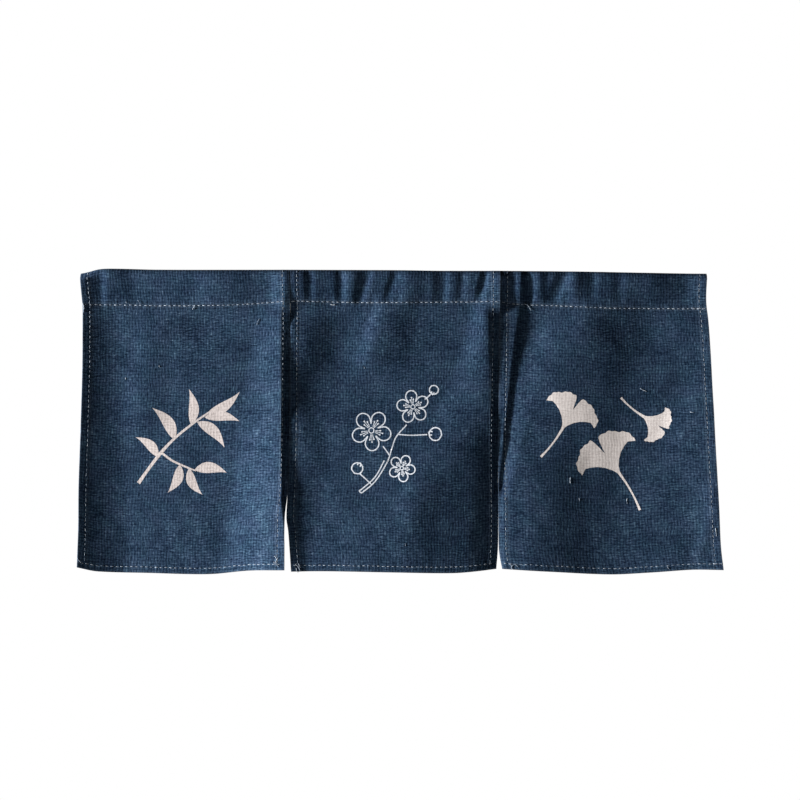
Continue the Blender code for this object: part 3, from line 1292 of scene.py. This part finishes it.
def left_panel() -> Panel:
    """Gives the sizes and folds of the left panel."""
    return Panel(
        name="cloth_left",
        node="panel_left",
        left_edge=[(0, -423), (-22, -422), (-50, -420.4), (-123, -420.2), (-205, -422.2), (-296, -425), (-350, -425.4), (-404, -427.2)],
        right_edge=[(0, -141.25), (-50, -140.7), (-120, -140.7), (-250, -141.9), (-305, -144), (-335, -146.9), (-404, -147.6)],
        top_edge=[(-428, -5.5), (-416, -3.4), (-398, 1.2), (-376, 1.9), (-320, 0.6), (-140, 0.5)],
        seam=[(-428, -46), (-357, -47), (-320, -47.8), (-262, -47.6), (-209, -46.2), (-168, -43.6), (-140, -41.3)],
        foot=[(-428, -400), (-400, -406), (-330, -408.5), (-249, -410), (-195, -404.5), (-148, -403)],
        folds=[
            Fold("outer edge forward", End(-423, -20, 30, 51, 7.4), End(-430, -410, 30, 80, 12.4), 30, 0, 0.9),
            Fold("inner ridge", End(-153.5, -70, 36, 40, 7), End(-152.5, -190, 60, 28, 12), 50, 0, 0.6),
            Fold("low ridge", End(-152, -240, 66, 24, 19), End(-151, -300, 72, 22, 24.5), 50, 0, 0.42),
            Fold("inner edge tucked", End(-141, -112, 8, 20, -3.5), End(-143, -296, 8, 20, -6), 24, 0, 0.2),
            Fold("inner corner forward", End(-148, -350, 90, 60, 24.5), End(-146, -420, 100, 60, 26.5), 50, 0, 0.5),
        ],
        creases=[
            Fold("band under the seam", End(-250, -66, 66, 62, -1.6), End(-250, -84, 60, 66, -1.6), 16),
            Fold("soft run down", End(-330, -90, 26, 34, 1.2), End(-342, -190, 30, 40, 1.0), 50),
            Fold("lower run", End(-210, -250, 30, 40, 1.6), End(-190, -350, 36, 40, 1.2), 50),
        ],
        puckers=[
            Fold("corner slope", End(-424, -4, 8, 40, 2.4), End(-424, -42, 8, 40, 1.6), 10),
            Fold("bright swell", End(-385.5, -2, 12, 38, 2.9), End(-385.5, -40, 12, 38, 2.2), 12, 0, 0.2),
            Fold("long swell", End(-242, -4, 30, 56, 2.0), End(-242, -40, 30, 56, 1.4), 12),
            Fold("soft hollow", End(-178, -4, 30, 22, -0.8), End(-178, -38, 30, 22, -0.6), 12),
            Fold("inner edge swell", End(-147.5, -4, 22, 32, 4.5), End(-148, -44, 22, 32, 4.2), 12, 0, 0.4),
        ],
        design=BambooSpray(),
        seed=11.0,
    )


def middle_panel() -> Panel:
    """Gives the sizes and folds of the middle panel."""
    return Panel(
        name="cloth_middle",
        node="panel_middle",
        left_edge=[(0, -141.2), (-50, -140.72), (-100, -141.05), (-120, -141.1), (-250, -142.2), (-305, -143.9), (-335, -145.1), (-352, -142.6), (-404, -138.6)],
        right_edge=[(0, 142.75), (-50, 142.5), (-175, 140.9), (-229, 139.7), (-340, 139.8), (-377, 139.2), (-404, 137)],
        top_edge=[(-142, 0.5), (0, 0), (60, -0.8), (143, -0.9)],
        seam=[(-142, -41.3), (-30, -43.6), (128, -42.4), (143, -43)],
        foot=[(-142, -405), (-87, -404.5), (0, -406), (76, -407.2), (105, -405.5), (138, -402)],
        folds=[
            Fold("inner edge rolled", End(-139.5, -84, 5, 84, 5.0), End(-139, -410, 5, 28, 1.4), 40, 0, 0.3),
            Fold("inner corner forward", End(-141, -320, 10, 16, 1.5), End(-138, -410, 12, 24, 3), 40, 0, 0.3),
            Fold("leaning ridge", End(124, -46, 22, 60, 7.4), End(-50, -410, 120, 150, 1.4), 22, 55, 0.2),
            Fold("upper right swell", End(121, -62, 34, 15, 2.0), End(116, -112, 34, 20, 1.0), 18, 0, 0.3),
            Fold("right edge tucked", End(144, -72, 18, 30, -4.0), End(142, -286, 12, 30, -5.5), 24, 0, 0.2),
            Fold("right edge back", End(141, -250, 40, 30, -2.5), End(140, -410, 46, 30, -5.2), 60, 0, 0.6),
            Fold("low bulge", End(-5, -256, 420, 272, 15.5), End(-8, -410, 420, 340, 23.5), 96),
            Fold("upper pleat", End(-9, -46, 22, 46, 4), End(-30, -116, 26, 56, 3), 22),
        ],
        creases=[
            Fold("dark hollow", End(-66, -66, 50, 42, -3.0), End(-84, -130, 46, 46, -2.4), 34),
            Fold("side hollow", End(-112, -150, 22, 30, -1.2), End(-104, -210, 22, 30, -0.8), 36),
            Fold("lower run", End(30, -300, 30, 36, 1.2), End(20, -390, 36, 40, 1.2), 40),
        ],
        puckers=[
            Fold("left edge swell", End(-143, -4, 30, 60, 3.4), End(-143, -44, 30, 60, 3.0), 12),
            Fold("first groove", End(-115, -2, 9, 9, -2.0), End(-114, -36, 9, 9, -1.2), 10),
            Fold("second groove", End(-72, -2, 10, 7, -2.2), End(-72, -36, 10, 8, -1.4), 10),
            Fold("broad swell", End(-57, -2, 11, 12, 1.4), End(-61, -40, 11, 12, 1.0), 10),
            Fold("leaning groove", End(-34, -2, 16, 8, -2.6), End(-47, -38, 11, 10, -1.8), 10),
            Fold("second leaning groove", End(2, -2, 9, 9, -2.0), End(-10, -38, 8, 9, -1.2), 10),
            Fold("right swell", End(20, -2, 14, 30, 2.2), End(16, -40, 16, 28, 1.8), 10),
            Fold("soft groove", End(68, -2, 20, 7, -2.8), End(66, -38, 18, 8, -2.0), 10),
            Fold("next groove", End(93, -2, 10, 8, -1.6), End(90, -38, 10, 8, -1.0), 10),
            Fold("last groove", End(124, -2, 9, 6, -2.8), End(115, -38, 9, 8, -1.8), 10),
            Fold("edge swell", End(146, -2, 27, 20, 5.0), End(144, -40, 27, 20, 4.0), 16, 0, 0.4),
        ],
        design=BlossomSprig(),
        seed=23.0,
    )


def right_panel() -> Panel:
    """Gives the sizes and folds of the right panel."""
    return Panel(
        name="cloth_right",
        node="panel_right",
        left_edge=[(0, 142.8), (-50, 142.45), (-90, 141.8), (-175, 140.6), (-229, 139.4), (-280, 139.5), (-340, 139.85), (-377, 140.3), (-390, 141.8), (-404, 144.6)],
        right_edge=[(0, 421), (-35, 420.2), (-60, 422.8), (-110, 425.8), (-175, 428.6), (-240, 431.3), (-306, 434.6), (-340, 436.1), (-376, 438), (-404, 441)],
        top_edge=[(143, -0.9), (250, -1.9), (330, -3.4), (400, -4.6), (445, -4.9)],
        seam=[(143, -43), (164, -45.5), (224, -48), (285, -50.8), (330, -51.4), (445, -52.6)],
        foot=[(143, -402), (210, -405.8), (290, -409.8), (345, -407), (400, -403), (445, -403)],
        folds=[
            Fold("left hem forward", End(160, -60, 60, 34, 2.6), End(142, -410, 60, 34, 0.5), 24),
            Fold("deep pleat", End(180, -20, 6, 56, -3), End(144.5, -290, 5, 14, -3.2), 20, -2, 0.4),
            Fold("left swell", End(276, -46, 62, 72, 6), End(190, -410, 200, 270, 11.5), 40, -20),
            Fold("left face swell", End(184, -262, 46, 86, 4.0), End(184, -410, 50, 90, 5.2), 30),
            Fold("left edge rolled", End(148, -236, 8, 22, 1.1), End(149, -410, 8, 22, 1.2), 30, 0, 0.2),
            Fold("right face swell", End(440, -200, 130, 40, 4), End(446, -320, 130, 40, 4), 50),
            Fold("right edge forward", End(425, -60, 90, 40, 6), End(446, -410, 150, 40, 23), 50, 0, 0.6),
            Fold("low right swell", End(345, -150, 40, 80, 2), End(350, -410, 80, 60, 3), 60),
        ],
        creases=[
            Fold("hollow under the seam", End(300, -62, 46, 50, -1.4), End(304, -92, 46, 50, -1.2), 26),
            Fold("slanting hollow", End(392, -150, 30, 26, -1.4), End(356, -240, 30, 30, -1.0), 40),
            Fold("corner crease", End(424, -300, 12, 12, 0.9), End(408, -376, 12, 14, 0.9), 26, 8),
        ],
        puckers=[
            Fold("edge swell", End(142, -2, 6, 20, 2.8), End(143, -40, 6, 20, 2.0), 14),
            Fold("narrow swell", End(170, -2, 10, 6, 2.4), End(169, -40, 10, 6, 2.0), 10),
            Fold("deep groove", End(180, -2, 7, 7, -2.4), End(181, -40, 7, 8, -1.8), 10),
            Fold("bright swell", End(195, -2, 8, 12, 1.8), End(194, -40, 8, 12, 1.4), 10),
            Fold("leaning groove", End(233, -2, 18, 9, -2.8), End(217, -38, 16, 9, -2.0), 10),
            Fold("soft swell", End(244, -4, 12, 14, 2.0), End(242, -38, 12, 14, 1.4), 10),
            Fold("next groove", End(268, -4, 12, 9, -1.6), End(267, -38, 12, 9, -1.0), 10),
            Fold("third groove", End(304, -4, 14, 10, -1.2), End(304, -38, 14, 10, -0.8), 10),
            Fold("corner hollow", End(395, -2, 52, 30, -4.4), End(393, -42, 52, 30, -3.2), 12, 0, 0.2),
        ],
        design=FanLeaves(),
        seed=37.0,
    )


def main() -> None:
    """Builds the curtain and its studio."""
    logging.basicConfig(level=logging.INFO, format="%(name)s: %(message)s")
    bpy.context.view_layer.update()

    floor_paint = PaintedFloor("matt emulsion paint, mid grey", "#bdbcb9", "#b4b3b0").make()
    Studio().build(floor_paint)

    cotton = IndigoCotton("yarn-dyed indigo cotton, plain woven", "#131f31", "#24354a", "#374a61", "#556e85", "#a2b0be")
    pigment = PrintedPigment("screen-print pigment, grey pink", "#e2d7d4", "#b8adaa", cotton)
    # Painted light: the right panel's print is the same grey pink ink as the left's. It is drawn paler so that it looks
    # as bright as the left print in the dimmer light that reaches the right panel.
    pigment_painted_paler = PrintedPigment("screen-print pigment, grey pink, two coats", "#fcf3ef", "#e0d5d1", cotton)
    line_pigment = PrintedPigment("screen-print pigment, white", "#f3f7fd", "#ccd3de", cotton)
    thread = CottonThread("spun cotton thread, pale blue-white", "#c8d2dc", "#5c6e85").make()
    cloth = cotton.make()
    solid_print, line_print, print_painted_paler = pigment.make(), line_pigment.make(), pigment_painted_paler.make()

    panels = (
        (left_panel(), solid_print, "sewing_left", LEFT_ENDS),
        (middle_panel(), line_print, "sewing_middle", MIDDLE_ENDS),
        # The right panel's print takes the ink that is painted paler to make up for its dimmer light.
        (right_panel(), print_painted_paler, "sewing_right", RIGHT_ENDS),
    )
    for panel, ink, sewing_name, ends in panels:
        piece = panel.build(cloth, ink)
        sewing = Sewing(panel, sewing_name, ends).build(thread)


# Each loose end is its path across the panel's front, how far it is lifted and its thickness beside
# the usual thread's.
LEFT_ENDS = [
    ([(-420, -44.5), (-419.3, -47), (-418.6, -51), (-419.2, -57)], 0.4, 0.9),
    ([(-346.5, -40.5), (-344, -43.7), (-342.6, -45.6)], 0.9, 0.75),
    ([(-363, -42.6), (-361, -44.4)], 0.7, 0.7),
    ([(-269.4, -46.5), (-270.5, -49.5), (-272.8, -52.6)], 0.7, 0.85),
    ([(-182.2, -65.6), (-184.6, -69.5), (-185.6, -73.7)], 0.8, 0.7),
    ([(-160.2, -384), (-157.6, -388), (-158.8, -392.5), (-156.4, -397)], 0.6, 0.7),
    ([(-155.6, -386), (-158.4, -391), (-156.0, -395)], 0.8, 0.6),
    ([(-161.5, -392), (-158.0, -395.6), (-154.6, -398.4)], 0.7, 0.6),
    ([(-426, -388), (-424, -391.5), (-421.5, -393)], 0.6, 0.7),
    ([(-318.0, -128.6), (-316.9, -130.6)], 0.3, 0.6),
    ([(-363.5, -145.0), (-362.8, -147.4)], 0.3, 0.8),
]
MIDDLE_ENDS = [
    ([(-86.4, -45.9), (-83.2, -46.7), (-80.0, -46.2)], 0.6, 1.25),
    ([(-141, -41.6), (-138.2, -42.4), (-135.4, -41.8)], 0.6, 0.9),
    ([(-133, -395), (-129.6, -398.6), (-127.0, -403.4), (-130.6, -405.4), (-132.0, -400.0)], 0.6, 0.7),
    ([(-129.4, -394), (-126.6, -399.6)], 0.7, 0.6),
    ([(14.4, -366.5), (14.8, -370.5)], 0.3, 0.5),
    ([(-41.0, -130.5), (-40.2, -132.6)], 0.3, 0.6),
]
RIGHT_ENDS = [
    ([(175.0, -44.6), (178.0, -46.0), (180.8, -45.2)], 0.8, 1.2),
    ([(178.4, -46.0), (181.0, -49.0), (184.4, -53.8)], 0.9, 0.75),
    ([(331.4, -159.6), (336.2, -162.0), (339.6, -163.4)], 0.35, 0.9),
    ([(397.4, -191.2), (402.6, -192.0)], 0.5, 0.9),
    ([(236.8, -279.0), (236.2, -283.2), (236.6, -287.0)], 0.3, 0.8),
    ([(313.4, -307.4), (312.8, -310.8), (313.6, -314.8)], 0.3, 0.8),
    ([(248.6, -307.0), (249.0, -311.4)], 0.3, 0.5),
    ([(153.6, -394.6), (157.6, -397.0), (162.0, -396.0), (166.4, -399.4)], 0.6, 0.8),
    ([(158.4, -396.4), (156.8, -400.6), (160.2, -402.8)], 0.7, 0.7),
    ([(430.2, -346.8), (431.0, -352.0), (431.6, -357.6)], 0.25, 1.0),
    ([(366.0, -398.4), (368.6, -402.6)], 0.7, 0.6),
    ([(401.0, -51.0), (404.0, -51.1), (407.0, -51.2)], 0.3, 1.1),
    ([(408.6, -51.2), (411.6, -51.5), (414.4, -51.4)], 0.3, 1.15),
    ([(415.6, -51.6), (418.4, -51.6), (420.6, -51.9)], 0.3, 1.05),
    ([(427.0, -394.4), (430.4, -394.2), (433.0, -394.5)], 0.4, 1.1),
    ([(434.4, -394.6), (437.0, -394.4), (439.2, -394.8)], 0.4, 1.0),
]


if __name__ == "__main__":
    main()
